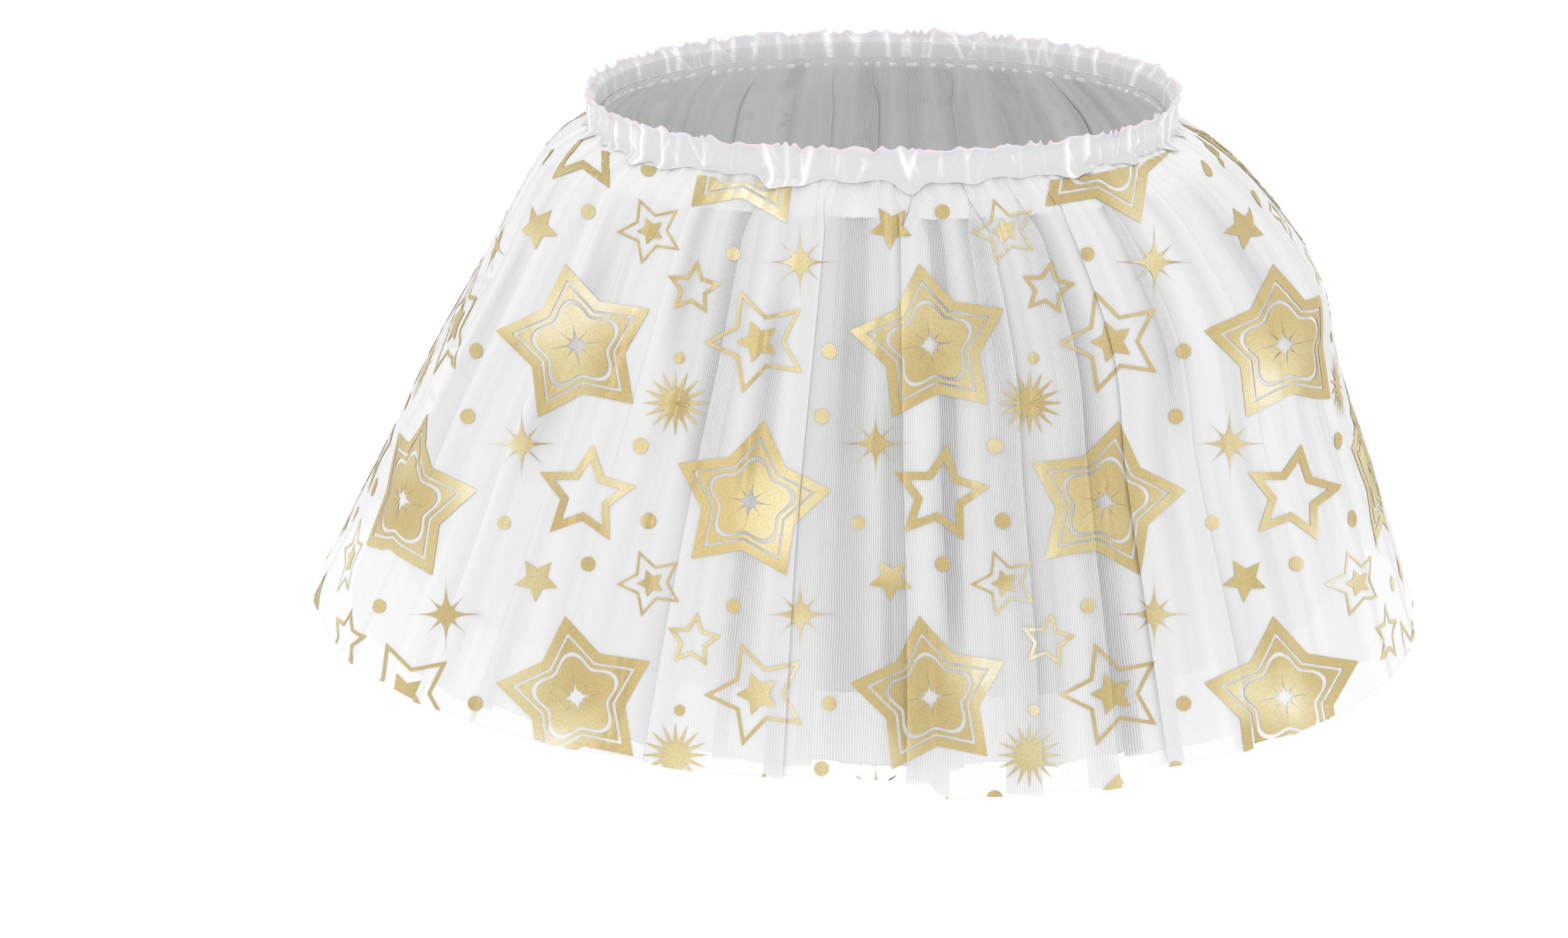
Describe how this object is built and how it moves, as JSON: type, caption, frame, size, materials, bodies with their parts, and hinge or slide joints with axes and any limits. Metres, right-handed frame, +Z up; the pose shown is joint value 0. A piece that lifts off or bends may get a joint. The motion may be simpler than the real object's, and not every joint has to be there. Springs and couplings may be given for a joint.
{
  "type": "tutu",
  "caption": "Short gathered skirt of layered tulle with a ruffled satin waistband and a gold star print, in its worn form, for dancing, costume and stage wear.",
  "frame": {"origin": "middle of the waist, at half the height of the waistband, where the wearer holds the skirt up", "axes": "+Z up, the front of the skirt faces -Y, +X towards the wearer's left"},
  "size_m": [0.6478, 0.5269, 0.3213],
  "materials": {
    "satin_waistband": "white polyester satin, glossy, gathered over elastic",
    "heading_net": "doubled white net, nearly opaque, matte",
    "printed_tulle": "sheer white polyester tulle, hem cut raw, with a gold foil print",
    "plain_tulle": "sheer white polyester tulle, hem cut raw",
    "gold_foil": "gold foil transfer, satin metallic"
  },
  "bodies": {
    "root": {"waistband": "satin_waistband", "heading_band": "heading_net", "tulle_outer_front": "printed_tulle", "tulle_outer_back": "printed_tulle", "tulle_middle_front": "plain_tulle", "tulle_middle_back": "plain_tulle", "tulle_inner_front": "plain_tulle", "tulle_inner_back": "plain_tulle"}
  },
  "joints": []
}
